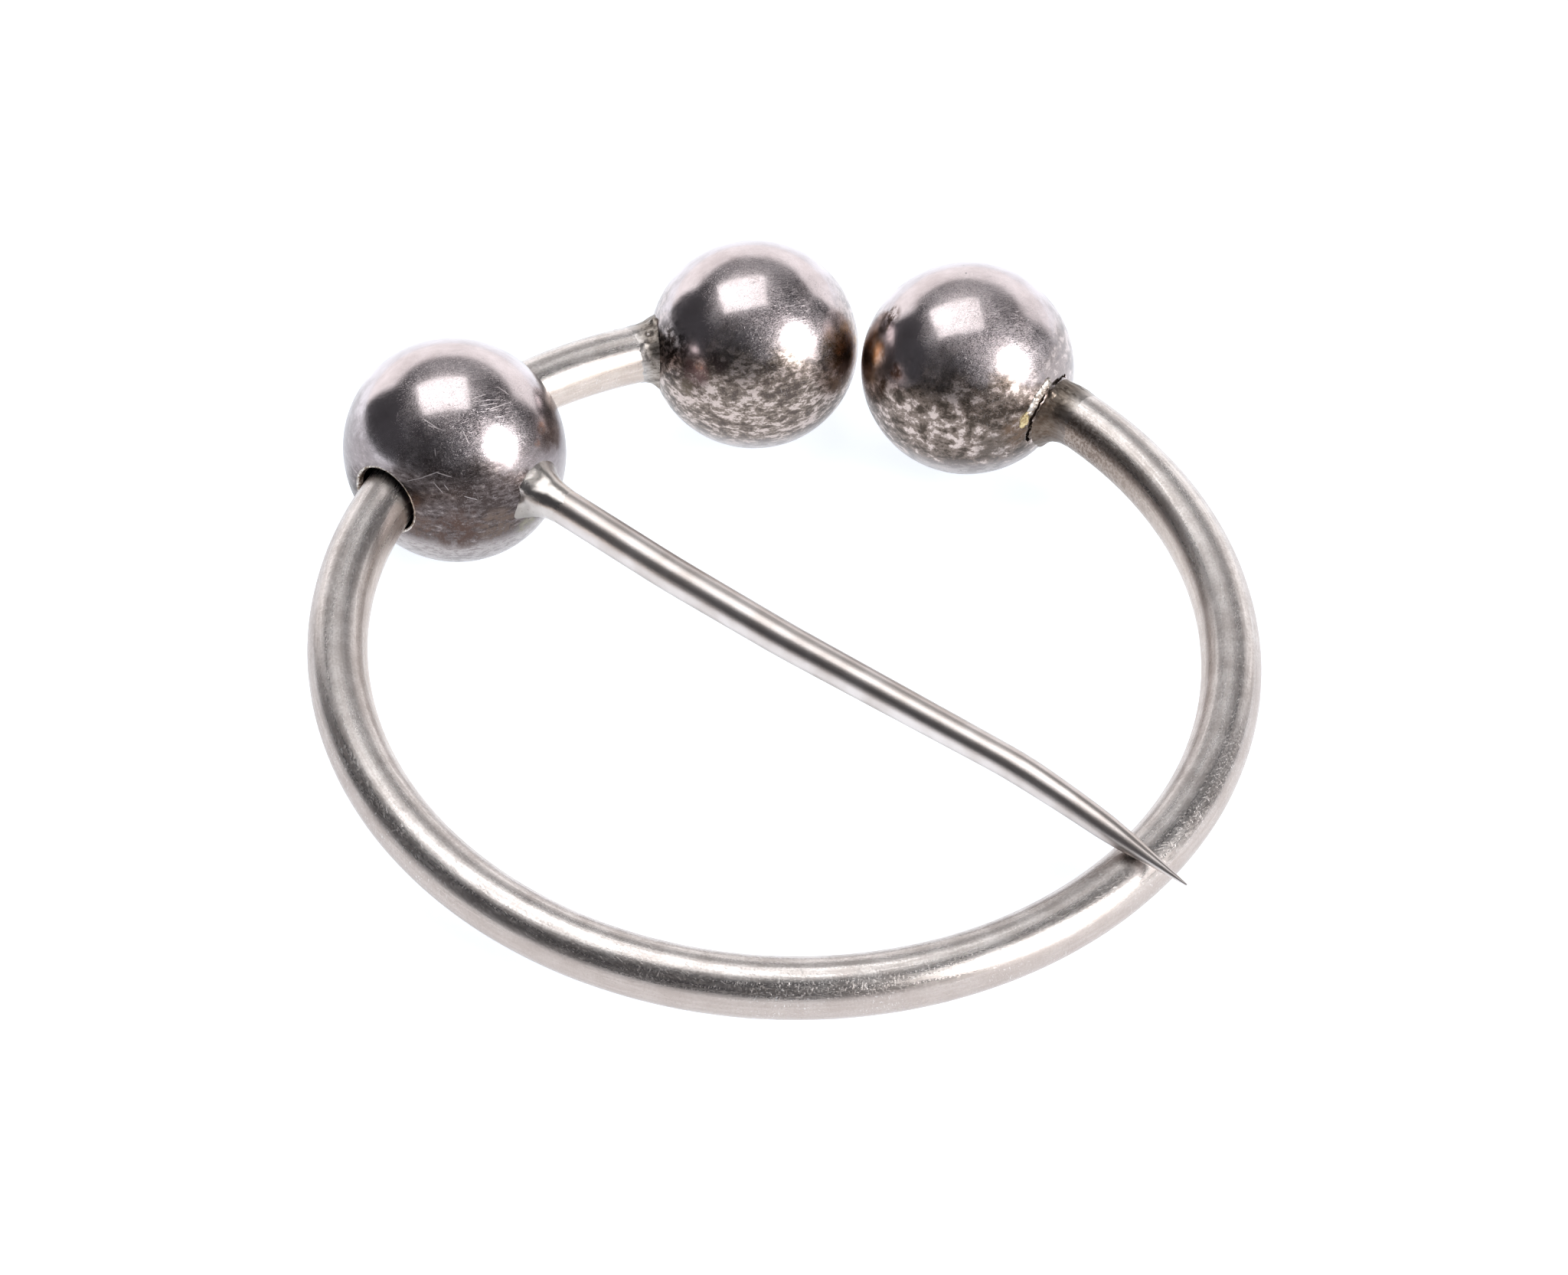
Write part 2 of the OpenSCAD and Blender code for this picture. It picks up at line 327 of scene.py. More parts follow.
def in_mm(tree, centre=(0, 0, 0)):
    """Where a point lies from a centre, in mm."""
    place = add(tree, "TexCoord", {}, out="Object")
    shift = -Vector(centre) / MM
    return add(tree, "Mapping", {"Vector": place, "Location": shift, "Scale": [1 / MM] * 3})


def raised_silver(name, centre, tarnish, stains_and_reflections, deep_scratches=()):
    """Sheet silver, raised and polished by hand: a soft mirror, hazy with fine
    scratches above, under a brown-grey tarnish worn through in flecks below.
    Each stain or painted reflection is a direction from the middle, its reach in degrees, and a colour.
    Each deep scratch runs from one direction to another."""
    material, tree = new_material(name)
    mm = in_mm(tree, centre)
    outward = add(tree, "VectorMath", {0: mm}, operation="NORMALIZE")
    height = add(tree, "SeparateXYZ", {"Vector": outward}, out="Z")
    cloud = add(tree, "TexNoise", {"Vector": mm, "Scale": 0.38, "Detail": 7.0, "Roughness": 0.62})
    wander = add(tree, "Math", {0: cloud, 1: 0.5}, operation="SUBTRACT")

    # The polished skin, faintly clouded
    skin_tone = add(tree, "MapRange", {"Value": cloud, "From Min": 0.36, "From Max": 0.64})
    skin = add(
        tree, "Mix", {0: skin_tone, 6: colour("#C6BBBC"), 7: colour("#DDD3D5")}, out=2, data_type="RGBA"
    )

    # Tarnish in three depths, in flecks that lie level round the ball
    level = add(tree, "Mapping", {"Vector": mm, "Scale": (1.0, 1.0, tarnish["level"])})
    fleck = add(
        tree,
        "TexNoise",
        {
            "Vector": level,
            "Scale": tarnish["fleck"],
            "Detail": 9.0,
            "Roughness": 0.72,
            "Distortion": 0.25,
        },
    )
    fleck = add(tree, "Math", {0: wander, 1: -0.35, 2: fleck}, operation="MULTIPLY_ADD")
    thin = add(
        tree,
        "MapRange",
        {"Value": fleck, "From Min": tarnish["thin_at"] - 0.05, "From Max": tarnish["thin_at"] + 0.03},
    )
    bare = add(
        tree,
        "MapRange",
        {"Value": fleck, "From Min": tarnish["bare_at"], "From Max": tarnish["bare_at"] + 0.05},
    )
    worn = add(
        tree,
        "Mix",
        {0: thin, 6: colour(tarnish["deep"]), 7: colour(tarnish["thin"])},
        out=2,
        data_type="RGBA",
    )
    worn = add(tree, "Mix", {0: bare, 6: worn, 7: colour(tarnish["bare"])}, out=2, data_type="RGBA")
    # It is full on the front and below, thinner on the sides, and gives way to
    # grey metal at the bottom
    facing = add(
        tree, "VectorMath", {0: outward, 1: TARNISHED_WAY}, out="Value", operation="DOT_PRODUCT"
    )
    edge = add(tree, "Math", {0: wander, 1: -0.7, 2: facing}, operation="MULTIPLY_ADD")
    low = add(
        tree,
        "MapRange",
        {"Value": edge, "From Min": 0.1, "From Max": 0.44},
        interpolation_type="SMOOTHSTEP",
    )
    edge = add(tree, "Math", {0: wander, 1: 0.7, 2: height}, operation="MULTIPLY_ADD")
    sides = add(
        tree,
        "MapRange",
        {"Value": edge, "From Min": 0.72, "From Max": 0.4, "To Max": 0.6},
        interpolation_type="SMOOTHSTEP",
    )
    low = add(tree, "Math", {0: low, 1: sides}, operation="MAXIMUM")
    foot = add(tree, "Math", {0: fleck, 1: 0.6, 2: height}, operation="MULTIPLY_ADD")
    bottom = add(
        tree,
        "MapRange",
        {
            "Value": foot,
            "From Min": tarnish["bottom_at"] + 0.3,
            "From Max": tarnish["bottom_at"] + 0.3 - tarnish["bottom_fade"],
        },
    )
    bottom_tone = add(
        tree, "Mix", {0: thin, 6: colour("#8F8684"), 7: colour("#B3ABA9")}, out=2, data_type="RGBA"
    )
    worn = add(tree, "Mix", {0: bottom, 6: worn, 7: bottom_tone}, out=2, data_type="RGBA")
    base = add(tree, "Mix", {0: low, 6: skin, 7: worn}, out=2, data_type="RGBA")

    # Fine scratches, and finer ones between them, most where hands have rubbed.
    # Real ones are one to three hundredths of a millimetre wide: drawn about three
    # times wider, to show
    rubbed = add(tree, "TexNoise", {"Vector": mm, "Scale": 0.5, "Detail": 6.0, "Roughness": 0.65})
    rubbed = add(tree, "MapRange", {"Value": rubbed, "From Min": 0.3, "From Max": 0.68, "To Min": 0.3})
    facing = add(tree, "VectorMath", {0: outward, 1: HANDLED_WAY}, out="Value", operation="DOT_PRODUCT")
    handled = add(
        tree,
        "MapRange",
        {"Value": facing, "From Min": 0.6, "From Max": 0.97, "To Min": 0.25, "To Max": 1.2},
    )
    rubbed = add(tree, "Math", {0: rubbed, 1: handled}, operation="MULTIPLY")
    fine = scratches(tree, mm, length=1.3, width=0.075, cover=0.02)
    finer = scratches(tree, mm, length=0.7, width=0.035, cover=0.13)
    finer = add(tree, "Math", {0: finer, 1: tarnish["haze"]}, operation="MULTIPLY")
    hazy = add(tree, "Math", {0: fine, 1: finer}, operation="MAXIMUM")
    hazy = add(tree, "Math", {0: hazy, 1: rubbed}, operation="MULTIPLY")
    fine = add(tree, "Math", {0: fine, 1: rubbed}, operation="MULTIPLY")
    polish = add(tree, "Mix", {0: hazy, 2: 0.13, 3: 0.55})
    film = add(tree, "Mix", {0: hazy, 2: 0.26, 3: 0.5})
    rough = add(tree, "Mix", {0: low, 2: polish, 3: film})

    # Stains, and painted reflections and glints of the neighbouring balls, at their places, mottled and
    # with torn edges
    speckle = add(tree, "TexNoise", {"Vector": mm, "Scale": 1.5, "Detail": 7.0, "Roughness": 0.7})
    speckle = add(
        tree, "MapRange", {"Value": speckle, "From Min": 0.42, "From Max": 0.55, "To Min": 0.12}
    )
    for direction, reach, code in stains_and_reflections:
        near = add(
            tree,
            "VectorMath",
            {0: outward, 1: Vector(direction).normalized()},
            out="Value",
            operation="DOT_PRODUCT",
        )
        room = 1 - math.cos(math.radians(reach))
        near = add(tree, "Math", {0: wander, 1: 2 * room, 2: near}, operation="MULTIPLY_ADD")
        mask = add(
            tree,
            "MapRange",
            {"Value": near, "From Min": 1 - 2.2 * room, "From Max": 1 - 0.2 * room},
            interpolation_type="SMOOTHSTEP",
        )
        mask = add(tree, "Math", {0: mask, 1: speckle}, operation="MULTIPLY")
        base = add(tree, "Mix", {0: mask, 6: base, 7: colour(code)}, out=2, data_type="RGBA")

    # A few deeper scratches at their places, each on the great circle through its
    # two ends
    groove = 0.0
    for start_way, end_way in deep_scratches:
        start_way, end_way = Vector(start_way).normalized(), Vector(end_way).normalized()
        off = add(
            tree,
            "VectorMath",
            {0: outward, 1: start_way.cross(end_way).normalized()},
            out="Value",
            operation="DOT_PRODUCT",
        )
        off = add(tree, "Math", {0: off}, operation="ABSOLUTE")
        line = add(
            tree,
            "MapRange",
            {"Value": off, "From Min": 0.001, "From Max": 0.0045, "To Min": 0.8, "To Max": 0.0},
        )
        middle = (start_way + end_way).normalized()
        along = add(tree, "VectorMath", {0: outward, 1: middle}, out="Value", operation="DOT_PRODUCT")
        end = middle.dot(start_way)
        run = add(tree, "MapRange", {"Value": along, "From Min": end, "From Max": 1 - 0.6 * (1 - end)})
        line = add(tree, "Math", {0: line, 1: run}, operation="MULTIPLY")
        groove = add(tree, "Math", {0: groove, 1: line}, operation="MAXIMUM")
    bright = add(tree, "Math", {0: fine, 1: 0.55}, operation="MULTIPLY")
    bright = add(tree, "Math", {0: bright, 1: groove}, operation="MAXIMUM")
    base = add(tree, "Mix", {0: bright, 6: base, 7: colour("#E2D9DA")}, out=2, data_type="RGBA")
    rough = add(tree, "Mix", {0: groove, 2: rough, 3: 0.6})

    # Pin-pricks where the sheet has pitted
    cell = add(tree, "TexVoronoi", {"Vector": mm, "Scale": 0.55}, out="Distance")
    chance = add(tree, "SeparateXYZ", {"Vector": cell.node.outputs["Color"]}, out="X")
    pit_size = add(
        tree, "MapRange", {"Value": chance, "From Min": 0.6, "From Max": 1.0, "To Max": 0.06}
    )
    pit = add(tree, "Math", {0: pit_size, 1: cell}, operation="SUBTRACT")
    pit = add(tree, "MapRange", {"Value": pit, "From Min": 0.0, "From Max": 0.02})
    base = add(tree, "Mix", {0: pit, 6: base, 7: colour("#2A2220")}, out=2, data_type="RGBA")
    grain = add(tree, "TexNoise", {"Vector": mm, "Scale": 4.0, "Detail": 3.0})
    depth = add(tree, "Math", {0: fine, 1: 0.9, 2: groove}, operation="MULTIPLY_ADD")
    depth = add(tree, "Math", {0: pit, 1: 2.0, 2: depth}, operation="MULTIPLY_ADD")
    relief = add(tree, "Math", {0: grain, 1: 0.6}, operation="MULTIPLY")
    relief = add(tree, "Math", {0: relief, 1: depth}, operation="SUBTRACT")
    return finished(material, base, rough, relief, strength=1.0, height=0.006)


# The haze of finer scratches, the flecks' scale per mm and how flat they lie, where
# in the flecks the tarnish thins and where it is worn off, its three colours, and
# the height, as a share of the radius, below which grey metal shows
LEFT_TARNISH = {
    "haze": 0.7,
    "fleck": 1.3,
    "level": 1.7,
    "thin_at": 0.455,
    "bare_at": 0.505,
    "deep": "#5A504B",
    "thin": "#84786F",
    "bare": "#C6B7B1",
    "bottom_at": -0.42,
    "bottom_fade": 0.2,
}
# Those facing the right ball (+X) are amber tarnish with a painted reflection of that ball on it, and
# the two-degree one is a painted copper glint
LEFT_STAINS_AND_REFLECTIONS = [
    ((0.92, -0.32, 0.21), 13, "#B3926E"),
    ((0.8, -0.48, 0.34), 9, "#9A846F"),
    ((0.85, -0.52, 0.03), 10, "#7C6856"),
    ((-0.8, -0.52, 0.3), 15, "#2B201B"),
    ((-0.51, -0.81, 0.3), 7, "#86706D"),
    ((-0.3, -0.86, 0.42), 6, "#5C4F4C"),
    ((-0.48, -0.8, 0.36), 2, "#B08C7C"),
    ((-0.59, -0.8, 0.1), 5, "#6A5F53"),
]
RIGHT_TARNISH = {
    "haze": 1.0,
    "fleck": 0.95,
    "level": 1.3,
    "thin_at": 0.47,
    "bare_at": 0.535,
    "deep": "#4A413A",
    "thin": "#80736B",
    "bare": "#CBBCB6",
    "bottom_at": -0.36,
    "bottom_fade": 0.2,
}
# The first five, facing the left ball (-X), are amber tarnish with a painted reflection of that ball on
# it, its copper glow and dark outlines
RIGHT_STAINS_AND_REFLECTIONS = [
    ((-0.93, -0.19, 0.31), 13, "#94704F"),
    ((-0.82, -0.34, 0.46), 4, "#9A7A62"),
    ((-0.81, -0.55, 0.22), 6, "#49372A"),
    ((-0.67, -0.61, 0.43), 4, "#6D5346"),
    ((-0.74, -0.11, 0.66), 7, "#5C4B42"),
    ((0.48, -0.87, -0.08), 9, "#6B584A"),
    ((0.55, -0.83, 0.08), 3, "#CBBB93"),
    ((0.23, -0.96, -0.18), 8, "#665C55"),
]

# The right ball has torn round the wire's foot, along the near side and above.
# Each tear runs between two turns round the foot, in degrees
FOOT_WAY = Vector((0.8366, -0.5467, -0.0355)).normalized()
RIGHT_FOOT = (
    Matrix.Translation(HOOP @ RIGHT_BALL)
    @ (HOOP.to_3x3() @ FOOT_WAY).to_track_quat("Z", "Y").to_matrix().to_4x4()
)
FOOT_REACH = math.radians(21.7)
NEAR_TEAR = (114, 204)
UPPER_TEAR = (58, 97)
CRACK_WIDE = 0.42 * MM
CRACK_DEEP = 0.4 * MM
BLACK_BELOW = 0.08 * MM


def round_foot(p):
    """The turn of a point round the wire's foot, and how far out it is on the ball's skin."""
    q = RIGHT_FOOT.inverted() @ p
    turn = math.degrees(math.atan2(q.y, q.x)) % 360
    reach = math.atan2(math.hypot(q.x, q.y), q.z) * RIGHT_BALL_R
    return turn, reach


def in_crack(p):
    """Whether a point of the ball's skin lies where the sheet has torn."""
    turn, reach = round_foot(p)
    # The tear wanders by up to a tenth of a millimetre, and narrows at its ends
    wave = 0.06 * math.sin(turn * 0.21) + 0.05 * math.sin(turn * 0.53 + 1)
    middle = FOOT_REACH * RIGHT_BALL_R + wave * MM
    if NEAR_TEAR[0] < turn < NEAR_TEAR[1]:
        from_end = min(turn - NEAR_TEAR[0], NEAR_TEAR[1] - turn)
        wide = CRACK_WIDE * min(1, 0.3 + from_end / 10)
    elif UPPER_TEAR[0] < turn < UPPER_TEAR[1]:
        wide = 0.8 * CRACK_WIDE
    else:
        return False
    return abs(reach - middle) < wide / 2


def sulphide_and_painted_shade(name):
    """Silver sulphide where nothing rubs, black-brown and matt, also standing in as painted shade in
    shadowed hollows.
    """
    material, tree = new_material(name)
    cloud = add(tree, "TexNoise", {"Vector": in_mm(tree), "Scale": 1.1, "Detail": 5.0})
    base = add(
        tree, "Mix", {0: cloud, 6: colour("#120D0B"), 7: colour("#2B211C")}, out=2, data_type="RGBA"
    )
    return finished(material, base, rough=0.6, relief=cloud, strength=0.5, height=0.05)


for name, centre, radius, tarnish, stains_and_reflections in (
    ("left_end_ball", LEFT_BALL, LEFT_BALL_R, LEFT_TARNISH, LEFT_STAINS_AND_REFLECTIONS),
    ("right_end_ball", RIGHT_BALL, RIGHT_BALL_R, RIGHT_TARNISH, RIGHT_STAINS_AND_REFLECTIONS),
):
    ball = start(
        name,
        bpy.ops.mesh.primitive_ico_sphere_add,
        subdivisions=7,
        radius=radius,
        location=centre,
    )
    close_up()
    uneven(ball, size=4.5 * MM, height=0.07 * MM)
    uneven(ball, size=1.6 * MM, height=0.012 * MM)
    laid(ball, HOOP)
    ball.data.materials.append(raised_silver(name + "_silver", HOOP @ centre, tarnish, stains_and_reflections))
    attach(ball, "hoop")

# The crack is pushed into the right ball's skin, and is black inside: sulphide, and painted shade in
# its depth
ball.data.materials.append(sulphide_and_painted_shade("crack_sulphide_and_painted_shade"))
bpy.ops.object.mode_set(mode="EDIT")
pick(ball, "polygons", in_crack)
bpy.ops.mesh.extrude_region_shrink_fatten(TRANSFORM_OT_shrink_fatten={"value": -CRACK_DEEP})
ball.active_material_index = 1
bpy.ops.object.material_slot_assign()
bpy.ops.mesh.select_more()
bpy.ops.object.mode_set(mode="OBJECT")
for face in ball.data.polygons:
    depth = (RIGHT_FOOT.inverted() @ face.center).length - RIGHT_BALL_R
    if face.select and depth < -BLACK_BELOW:
        face.material_index = 1


# The solder at the end balls. Each ball is soldered on the end of the wire. The
# solder rises round the wire as a hollow-cheeked collar, grainy and pitted.


def evened(stations, step, rounds):
    """Stations at equal steps on the line through the given ones, its corners rounded."""
    given = np.array(stations).T
    count = round((given[0][-1] - given[0][0]) / step) + 1
    places = np.linspace(given[0][0], given[0][-1], count)
    line = np.array([np.interp(places, given[0], values) for values in given])
    for _ in range(rounds):
        line[:, 1:-1] = (line[:, :-2] + 2 * line[:, 1:-1] + line[:, 2:]) / 4
    return line.T.tolist()


def turned(name, stations, sides=120):
    """Draws a ring on through (place on the axis, radius, sideways, up), in mm, along Z."""
    place, radius, side, up = stations[0]
    piece = start(
        name,
        bpy.ops.mesh.primitive_circle_add,
        vertices=sides,
        radius=radius * MM,
        location=(side * MM, up * MM, place * MM),
    )
    for station in stations[1:]:
        step = [(b - a) * MM for a, b in zip((side, up, place), (*station[2:], station[0]))]
        bpy.ops.mesh.extrude_region_move(TRANSFORM_OT_translate={"value": step})
        grow = station[1] / radius
        place, radius, side, up = station
        bpy.ops.transform.resize(
            value=(grow, grow, 1), center_override=(side * MM, up * MM, place * MM)
        )
    return piece


def pushed(piece, pushes):
    """In edit mode, draws the skin out (or in) at a turn in degrees and a place on the
    axis, by so much, over a reach round it, all in mm."""
    for turn, place, out, reach in pushes:
        way = ring_way(math.radians(turn))
        bpy.ops.object.mode_set(mode="OBJECT")
        level = [p for p in piece.data.vertices if abs(p.co.z - place * MM) < 0.12 * MM]
        nearest = max(level, key=lambda p: p.co.dot(way)).co.copy()
        bpy.ops.object.mode_set(mode="EDIT")
        pick(piece, "vertices", lambda p: (p - nearest).length < 0.001 * MM)
        bpy.ops.transform.translate(
            value=way * out * MM,
            use_proportional_edit=True,
            proportional_edit_falloff="SMOOTH",
            proportional_size=reach * MM,
        )


def solder(name, dark, light, grime, brown):
    """Silver solder that has run up the wire: it shines like the wire at its thin
    end, and is dull, grainy and pitted at its foot, where grime has settled. The
    brown tarnish on the wire's inner side runs on over it."""
    material, tree = new_material(name)
    mm = add(tree, "Attribute", {}, out="Vector", attribute_name="straight")
    along = add(tree, "SeparateXYZ", {"Vector": mm}, out="X")
    foot = add(
        tree,
        "MapRange",
        {"Value": along, "From Min": 1.9, "From Max": 0.3},
        interpolation_type="SMOOTHSTEP",
    )
    drawn = add(tree, "Mapping", {"Vector": mm, "Scale": (0.5, 3.2, 3.2)})
    cloud = add(tree, "TexNoise", {"Vector": drawn, "Scale": 1.0, "Detail": 6.0, "Roughness": 0.65})
    grain = add(tree, "TexNoise", {"Vector": mm, "Scale": 2.6, "Detail": 7.0, "Roughness": 0.72})
    tone = add(tree, "MapRange", {"Value": cloud, "From Min": 0.38, "From Max": 0.62})
    base = add(tree, "Mix", {0: tone, 6: colour(dark), 7: colour(light)}, out=2, data_type="RGBA")
    base = add(tree, "Mix", {0: foot, 6: colour("#D3CFCE"), 7: base}, out=2, data_type="RGBA")
    dirty = add(tree, "MapRange", {"Value": grain, "From Min": 0.49, "From Max": 0.37, "To Max": 0.75})
    dirty = add(tree, "Math", {0: dirty, 1: foot}, operation="MULTIPLY")
    base = add(tree, "Mix", {0: dirty, 6: base, 7: colour(grime)}, out=2, data_type="RGBA")
    base = gathered_brown(tree, base, grain, along.node.outputs["Y"], brown)
    rough = add(tree, "Mix", {0: foot, 2: 0.3, 3: 0.4})
    relief = add(tree, "Math", {0: grain, 1: foot}, operation="MULTIPLY")
    return finished(material, base, rough, relief, strength=0.8, height=0.035)


# The stations of the solder lie this close together, in mm
SOLDER_STEP = 0.07


def solder_collar(name, stations, pushes, straight, place, material):
    """A collar through its stations, its skin drawn out or in at the pushes, then lumpy."""
    collar = turned(name, evened(stations, SOLDER_STEP, rounds=6))
    pushed(collar, pushes)
    close_up()
    uneven(collar, size=1.1 * MM, height=0.08 * MM)
    uneven(collar, size=0.28 * MM, height=0.035 * MM)
    keep_straight(collar, straight)
    laid(collar, place)
    collar.data.materials.append(material)
    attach(collar, "hoop")


# Z leaves the left ball along the wire, from the ball's skin, and X points out
left_skin = LEFT_BALL_AT + 2 * math.asin(LEFT_BALL_R / (2 * HOOP_R))
LEFT_COLLAR = (
    HOOP
    @ ARM
    @ Matrix.Rotation(left_skin, 4, "Z")
    @ Matrix.Translation((HOOP_R, 0, 0))
    @ Matrix.Rotation(-math.pi / 2, 4, "X")
)
solder_collar(
    "left_solder_collar",
    [
        (-0.75, 2.62, 0.0, 0.12),
        (-0.4, 2.52, 0.0, 0.12),
        (0.0, 2.3, 0.0, 0.08),
        (0.5, 2.12, 0.0, 0.04),
        (1.2, 2.05, 0.0, 0.0),
        (2.3, 1.97, 0.03, 0.0),
    ],
    [(134, -0.2, 0.35, 0.8), (286, -0.2, 0.22, 0.5), (262, 0.35, -0.14, 0.4), (242, 0.9, 0.1, 0.5)],
    lambda p: (p.z / MM, p.x / MM, p.y / MM),
    LEFT_COLLAR,
    solder("left_silver_solder", dark="#7A7169", light="#BDB4AC", grime="#332A24", brown=0.0),
)

# Z leaves the right ball through the middle of the torn foot, from the ball's
# middle. The solder has run further up here, so its look is stretched with it
RIGHT_SKIN = 7.3
RIGHT_STRETCH = 0.6
solder_collar(
    "right_solder_collar",
    [
        (6.6, 2.62, 0.0, 0.0),
        (7.1, 2.56, 0.04, 0.02),
        (7.5, 2.38, 0.2, 0.13),
        (8.0, 2.22, 0.4, 0.25),
        (8.7, 2.1, 0.42, 0.32),
        (10.0, 1.97, 0.25, 0.37),
    ],
    [(255, 7.2, 0.35, 0.9), (108, 7.3, 0.25, 0.4)],
    lambda p: (RIGHT_STRETCH * (p.z / MM - RIGHT_SKIN), p.x / MM, p.y / MM),
    RIGHT_FOOT,
    solder("right_silver_solder", dark="#655A51", light="#A2978C", grime="#3B3026", brown=0.9),
)


# The torn lip. Where the joint has cracked, the ball's thin sheet stands up in
# a bright ragged edge, with a crust of yellow flux beside it.


def bare_edge(name):
    """The bare edge of silver sheet, torn or worn: bright, rough metal with brown
    grime in its hollows."""
    material, tree = new_material(name)
    mm = in_mm(tree)
    grain = add(tree, "TexNoise", {"Vector": mm, "Scale": 3.2, "Detail": 6.0, "Roughness": 0.7})
    tone = add(tree, "MapRange", {"Value": grain, "From Min": 0.42, "From Max": 0.58})
    base = add(
        tree, "Mix", {0: tone, 6: colour("#7A6A5A"), 7: colour("#E4DED8")}, out=2, data_type="RGBA"
    )
    return finished(material, base, rough=0.34, relief=grain, strength=0.8, height=0.05)


# A roll of torn sheet, pressed flat on the ball's skin, that runs part of the way
# round the foot
LIP_REACH = math.radians(25.3)
LIP_FROM = math.radians(98)
LIP_RUN = math.radians(52)
LIP_WIDE = 0.34 * MM
LIP_FLAT = 0.25
LIP_PLACE = Vector((math.sin(LIP_REACH), 0, math.cos(LIP_REACH))) * RIGHT_BALL_R
lip = start(
    "torn_lip",
    bpy.ops.mesh.primitive_circle_add,
    vertices=20,
    radius=LIP_WIDE,
    location=LIP_PLACE,
    rotation=(math.pi / 2, 0, 0),
)
bpy.ops.transform.resize(value=(1, 1, LIP_FLAT), center_override=LIP_PLACE)
bpy.ops.transform.rotate(
    value=-LIP_REACH, orient_axis="Y", orient_type="GLOBAL", center_override=LIP_PLACE
)
bpy.ops.transform.rotate(
    value=-LIP_FROM, orient_axis="Z", orient_type="GLOBAL", center_override=(0, 0, 0)
)
bpy.ops.mesh.spin(steps=70, angle=-LIP_RUN, center=(0, 0, 0), axis=(0, 0, 1))
close_up()
uneven(lip, size=0.45 * MM, height=0.2 * MM)
uneven(lip, size=0.16 * MM, height=0.05 * MM)
laid(lip, RIGHT_FOOT)
lip.data.materials.append(bare_edge("torn_silver_sheet"))
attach(lip, "hoop")


def dried_flux():
    """Borax flux that was never washed off: a matt crust, yellow to brown, not metal."""
    material, tree = new_material("dried_borax_flux")
    grain = add(tree, "TexNoise", {"Vector": in_mm(tree), "Scale": 3.0, "Detail": 5.0})
    tone = add(tree, "MapRange", {"Value": grain, "From Min": 0.4, "From Max": 0.6})
    base = add(
        tree, "Mix", {0: tone, 6: colour("#94794C"), 7: colour("#E3D4A4")}, out=2, data_type="RGBA"
    )
    return finished(material, base, rough=0.55, relief=grain, strength=0.8, height=0.06, metallic=0.0)


FLUX_AT = math.radians(158)
FLUX_REACH = 3.55 * MM
FLUX_R = 0.65 * MM
FLUX_SHAPE = (0.5, 1.0, 0.12)
flux = start("flux_crust", bpy.ops.mesh.primitive_ico_sphere_add, subdivisions=5, radius=FLUX_R)
bpy.ops.transform.resize(value=FLUX_SHAPE, center_override=(0, 0, 0))
close_up()
uneven(flux, size=0.35 * MM, height=0.22 * MM)
laid(
    flux,
    RIGHT_FOOT
    @ Matrix.Rotation(FLUX_AT, 4, "Z")
    @ Matrix.Rotation(FLUX_REACH / RIGHT_BALL_R, 4, "Y")
    @ Matrix.Translation((0, 0, RIGHT_BALL_R)),
)
flux.data.materials.append(dried_flux())
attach(flux, "hoop")


# The sliding ball. A third hollow ball, a little flattened, with a hole in each
# side for the wire. The holes' edges are worn bright; the inside is black, sulphide
# with painted shade.
SLIDER_AT = math.radians(144.4)
# In mm, as its stations are. Its skin is an arc of this radius, whose middle is so
# far out from the bore
SLIDER_ROUND_R = 7.4
SLIDER_OUT = 0.45
SHEET = 0.4
BORE_SLACK = 1.1
HOLE_R = WIRE_R / MM + BORE_SLACK / 2
BORE_HALF = math.sqrt(SLIDER_ROUND_R**2 - (HOLE_R - SLIDER_OUT) ** 2)

# The ball hangs inwards and rides up on the arm, as far as its loose holes let it
HANG_IN = 0.2 * BORE_SLACK
RIDE_UP = 0.3 * BORE_SLACK
BORE_TURN = math.asin(BORE_HALF * MM / HOOP_R)
ARM_FALL = HOOP_R / MM * math.sin(ARM_BEND_AT - SLIDER_AT + BORE_TURN) * math.sin(ARM_DROP)
BORE_LEAN = math.asin((RIDE_UP + ARM_FALL / 2) / BORE_HALF)
BORE_RING_R = HOOP_R * math.cos(BORE_TURN) - HANG_IN * MM
BORE_POS = ring_way(SLIDER_AT) * BORE_RING_R - Vector((0, 0, ARM_FALL / 2)) * MM
BORE = (
    HOOP
    @ Matrix.Translation(BORE_POS)
    @ Matrix.Rotation(SLIDER_AT, 4, "Z")
    @ Matrix.Rotation(BORE_LEAN - math.pi / 2, 4, "X")
)

# The hole that is seen is the smaller one. It is worn to one side, and the skin
# next to it leans that way
NEAR_HOLE_R = 2.45
NEAR_HOLE_SIDE = 0.25
WORN_FROM = 5.2
WORN_OVER = 1.9
# Its rim turns in, through (place along the bore from the skin's end, radius over
# the hole's)
NEAR_RIM = [(0.01, 0.1), (-0.03, 0.03), (-0.12, 0.0)]
# Both rims are bright from this far along the bore, in a band this wide
RIM_FROM = 6.6
RIM_WIDE = 0.19


def ball_stations(inset, steps, far_hole, near_hole):
    """Stations on the ball's skin from the far hole to the near one."""
    round_r = SLIDER_ROUND_R - inset
    low = -math.acos((far_hole - SLIDER_OUT) / round_r)
    high = math.acos((near_hole - SLIDER_OUT) / round_r)
    stations = []
    for i in range(steps + 1):
        t = low + (high - low) * i / steps
        place = round_r * math.sin(t)
        share = min(max((place - WORN_FROM) / WORN_OVER, 0), 1)
        side = NEAR_HOLE_SIDE * share * share
        stations.append((place, SLIDER_OUT + round_r * math.cos(t), side, 0))
    return stations


